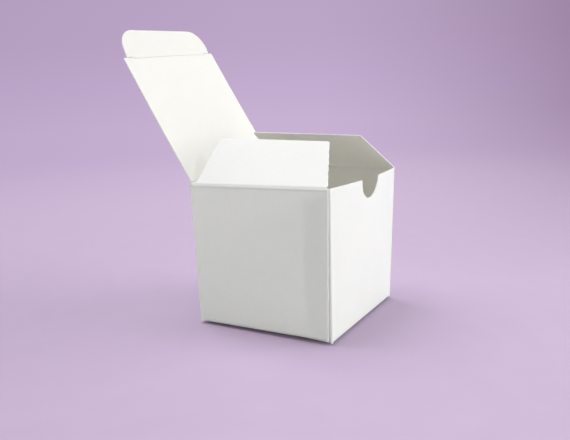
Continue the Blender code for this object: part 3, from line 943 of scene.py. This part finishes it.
def bottom_panel(name, replaced, outward, grid, layer, foot, lift, seed):
    """A panel folded in from its wall's foot, which settles onto its layer and sags with it.

    foot gives the height of its wall's foot and lift gives how far its far end is raised.
    """
    outward = np.array(outward, float)
    along = np.cross(-UP, outward)
    origin = outward * MID_FACE
    level = BOARD / 2 + layer * LAYER

    def shape(u, v):
        middle = origin + u[..., None] * along
        x, y = middle[..., 0] - outward[0] * v, middle[..., 1] - outward[1] * v
        sag = np.clip(1 - (x / MID_FACE) ** 2, 0, 1) * np.clip(1 - (y / MID_FACE) ** 2, 0, 1)
        low = foot(middle[..., 1]) + BOARD / 2
        z = low + (level - low) * ease((v - SETTLE) / SETTLE_RUN) + lift(v)
        moved = lean(middle[..., 0], middle[..., 1], np.zeros_like(u))
        moved[..., 2] += z - BULGE * sag
        return moved

    place = folded(origin, along, -UP, -outward, FOOT_REACH, shape)
    piece = board(name, *grid, place, fold_crease(FOOT_REACH), (0, RAGGED, RAGGED, RAGGED), seed)
    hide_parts(replaced)
    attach(piece, "carton")


def bottom_grid(stations):
    """A grid between stations (v, low, high), evenly across and finer over the fold."""
    edges = np.array(stations)
    heights = list(np.linspace(-FOOT_REACH, FOOT_REACH, FOOT_ROWS)) + list(SETTLE_ROWS)
    for here, there in zip(edges[:-1, 0], edges[1:, 0]):
        count = max(1, math.ceil((there - here) / PITCH))
        heights += [here + (there - here) * k / count for k in range(count + 1)]
    v = np.array(sorted(set(round(h, 8) for h in heights)))
    low = np.interp(v, edges[:, 0], edges[:, 1])[:, None]
    high = np.interp(v, edges[:, 0], edges[:, 2])[:, None]
    share = np.linspace(0, 1, BOTTOM_COLUMNS)[None, :]
    return low + (high - low) * share, np.repeat(v[:, None], BOTTOM_COLUMNS, axis=1)


def make_bottom():
    """The snap-lock bottom: the tongue panel, the two side flaps, and the slot panel."""
    def flat(values):
        return np.zeros_like(values)

    def front_foot(y):
        return np.full_like(y, FRONT_FOOT)

    def left_foot(y):
        return LEFT_FOOT_RISE * np.clip((CENTRE - y) / (2 * CENTRE), 0, 1)

    def tongue_lift(v):
        return 3 * LAYER * ease((v - TONGUE_LIFT) / TONGUE_LIFT_RUN)

    tongue = [(-FOOT_REACH, -TONGUE_ROOT, TONGUE_ROOT)]
    tongue += [(v, -half, half) for v, half in TONGUE_OUTLINE]
    bottom_panel("tongue_panel", "bottom_tongue_panel", (0, -1, 0), bottom_grid(tongue), layer=0,
                 foot=front_foot, lift=tongue_lift, seed=9.0)

    side = [(-FOOT_REACH, -FLAP_BACK, FLAP_FRONT), (FLAP_LENGTH, -FLAP_BACK, FLAP_TIP)]
    mirror = [(v, -high, -low) for v, low, high in side]
    bottom_panel("left_bottom_flap", "bottom_left_flap", (-1, 0, 0), bottom_grid(mirror), layer=1,
                 foot=left_foot, lift=flat, seed=10.0)
    bottom_panel("right_bottom_flap", "bottom_right_flap", (1, 0, 0), bottom_grid(side), layer=1,
                 foot=flat, lift=flat, seed=11.0)

    outline = [(-u, v) for u, v in reversed(SLOT_OUTLINE)] + list(SLOT_OUTLINE)
    table = columns([(u, -FOOT_REACH, v) for u, v in outline])
    grid = rows_over_fold(table, FOOT_REACH, fold_rows=FOOT_ROWS, body_rows=26)
    bottom_panel("slot_panel", "bottom_slot_panel", (0, 1, 0), grid, layer=2, foot=flat, lift=flat,
                 seed=12.0)


def make_camera():
    """A camera that sees the carton as the photograph does."""
    flat = math.cos(ELEVATION)
    back = Vector((math.sin(AZIMUTH) * flat, -math.cos(AZIMUTH) * flat, math.sin(ELEVATION)))
    level = Vector((math.cos(AZIMUTH), math.sin(AZIMUTH), 0))
    upright = back.cross(level)
    side = level * math.cos(ROLL) + upright * math.sin(ROLL)
    top = upright * math.cos(ROLL) - level * math.sin(ROLL)
    data = bpy.data.cameras.new("camera")
    data.sensor_width = SENSOR
    data.lens = SENSOR * FOCAL / PICTURE_WIDTH
    data.clip_start, data.clip_end = CLIP
    camera = bpy.data.objects.new("camera", data)
    middle = Vector((0, 0, 0.5))
    place = (middle - (side * OFF_RIGHT + top * OFF_UP - back * DISTANCE)) * WIDTH
    camera.matrix_world = Matrix((
        (side.x, top.x, back.x, place.x),
        (side.y, top.y, back.y, place.y),
        (side.z, top.z, back.z, place.z),
        (0, 0, 0, 1)))
    bpy.context.scene.collection.objects.link(camera)
    bpy.context.scene.camera = camera


def falloff(tree, direction):
    """The direction's height, and how the studio's light falls off towards both sides there."""
    way = vector_node(tree, "NORMALIZE", "Vector", direction)
    height = node(tree, "ShaderNodeSeparateXYZ", {"Vector": way}).outputs["Z"]
    toward = vector_node(tree, "DOT_PRODUCT", "Value", way, SIDEWAYS)
    right = calculated(tree, "POWER", spread(tree, toward, *RIGHT_SPAN), RIGHT_POWER)
    right = calculated(tree, "MULTIPLY", right, spread(tree, height, *RIGHT_HEIGHTS))
    left = spread(tree, toward, *LEFT_SPAN)
    tint = mixed(tree, left, (1, 1, 1, 1), (*DIM_LEFT, 1))
    return height, mixed(tree, right, tint, (*DARK_RIGHT, 1))


def backdrop(tree, direction):
    """The backdrop's lavender in a direction, paler lower down."""
    height, tint = falloff(tree, direction)
    tone = ramp(tree, spread(tree, height, *BACKDROP_SPAN), BACKDROP_TONES)
    return vector_node(tree, "MULTIPLY", "Vector", tone, tint)


def make_stage():
    """A pale lavender floor that runs into a backdrop of the same colour."""
    corners = ((-1, -1), (1, -1), (1, 1), (-1, 1))
    points = [(x * FLOOR_SIZE, y * FLOOR_SIZE, -BULGE) for x, y in corners]
    mesh = bpy.data.meshes.new("floor")
    mesh.from_pydata(points, [], [(0, 1, 2, 3)])
    floor = bpy.data.objects.new("floor", mesh)
    bpy.context.scene.collection.objects.link(floor)
    made, tree, shader = material("lavender_paper")
    mesh.materials.append(made)

    # The paper, whose light onto the carton is less violet than it looks to the camera
    rays = node(tree, "ShaderNodeLightPath", {}).outputs
    seen = calculated(tree, "MAXIMUM", rays["Is Camera Ray"], rays["Is Glossy Ray"])
    place = node(tree, "ShaderNodeTexCoord", {}).outputs["Object"]
    direction = vector_node(tree, "SUBTRACT", "Vector", place, SIGHT_POINT)
    tone = ramp(tree, noise(tree, place, FLOOR_CLOUD, 3.0), tuple(zip((0.3, 0.7), FLOOR_TONES)))
    tone = vector_node(tree, "MULTIPLY", "Vector", tone, falloff(tree, direction)[1])
    feed(tree, shader, {
        "Base Color": mixed(tree, seen, (*FLOOR_BOUNCE, 1), tone),
        "Roughness": 0.9,
        "Specular IOR Level": 0.1})

    # Further out, the camera sees the backdrop's colour instead
    far = vector_node(tree, "LENGTH", "Value", place)
    far = spread(tree, far, *FLOOR_FADE, curve="SMOOTHSTEP")
    glow = node(tree, "ShaderNodeEmission", {"Color": backdrop(tree, direction)})
    blend = node(tree, "ShaderNodeMixShader", {
        "Fac": calculated(tree, "MULTIPLY", far, rays["Is Camera Ray"]),
        1: shader.outputs["BSDF"],
        2: glow.outputs["Emission"]})
    feed(tree, tree.nodes["Material Output"], {"Surface": blend.outputs["Shader"]})


def make_world():
    """Even light from all round; the camera sees the backdrop's colour there."""
    world = bpy.data.worlds.new("studio")
    bpy.context.scene.world = world
    world.use_nodes = True
    tree = world.node_tree
    light = tree.nodes["Background"]
    feed(tree, light, {"Color": (1.0, 1.0, 0.99, 1), "Strength": AMBIENT})
    direction = node(tree, "ShaderNodeTexCoord", {}).outputs["Generated"]
    seen = node(tree, "ShaderNodeBackground", {"Color": backdrop(tree, direction), "Strength": 1.0})
    blend = node(tree, "ShaderNodeMixShader", {
        "Fac": node(tree, "ShaderNodeLightPath", {}).outputs["Is Camera Ray"],
        1: light.outputs["Background"],
        2: seen.outputs["Background"]})
    feed(tree, tree.nodes["World Output"], {"Surface": blend.outputs["Shader"]})


def make_lamp(name, direction, level):
    """A square soft lamp aimed at the carton."""
    data = bpy.data.lights.new(name, "AREA")
    data.shape = "SQUARE"
    data.size = LAMP_SIZE
    data.energy = level * math.pi ** 2 * LAMP_DISTANCE ** 2
    lamp = bpy.data.objects.new(name, data)
    way = Vector(direction).normalized()
    lamp.location = LAMP_TARGET + way * LAMP_DISTANCE
    lamp.rotation_euler = way.to_track_quat("Z", "Y").to_euler()
    bpy.context.scene.collection.objects.link(lamp)


# The strained tones make the folds lighter, partly for strain and partly as a painted highlight
OUTSIDE = paperboard("board_outside", clean=(0.915, 0.915, 0.900), shaded=(0.895, 0.895, 0.880),
                     strained_and_highlit=(0.93, 0.93, 0.915), roughness=0.45, fibre=0.065, relief=0.30)
INSIDE = paperboard("board_inside", clean=(0.852, 0.845, 0.806), shaded=(0.832, 0.824, 0.782),
                    strained_and_highlit=(0.88, 0.875, 0.84), roughness=0.72, fibre=0.05, relief=0.3)
CUT = cut_edge("board_cut_edge")

make_front_wall()
make_right_wall()
make_back_wall()
make_left_wall()
make_tuck(make_lid())
make_dust_flap("left", 1, NEAR_FLAP, seed=7.0)
make_dust_flap("right", -1, FAR_FLAP, seed=8.0)
make_bottom()

glue_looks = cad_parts["glue_strip"].data.materials
glue_looks.clear()
glue_looks.append(dried_glue("dried_glue"))

make_camera()
make_stage()
make_world()
for lamp_values in LAMPS:
    make_lamp(*lamp_values)
bpy.context.scene.view_settings.view_transform = "Standard"
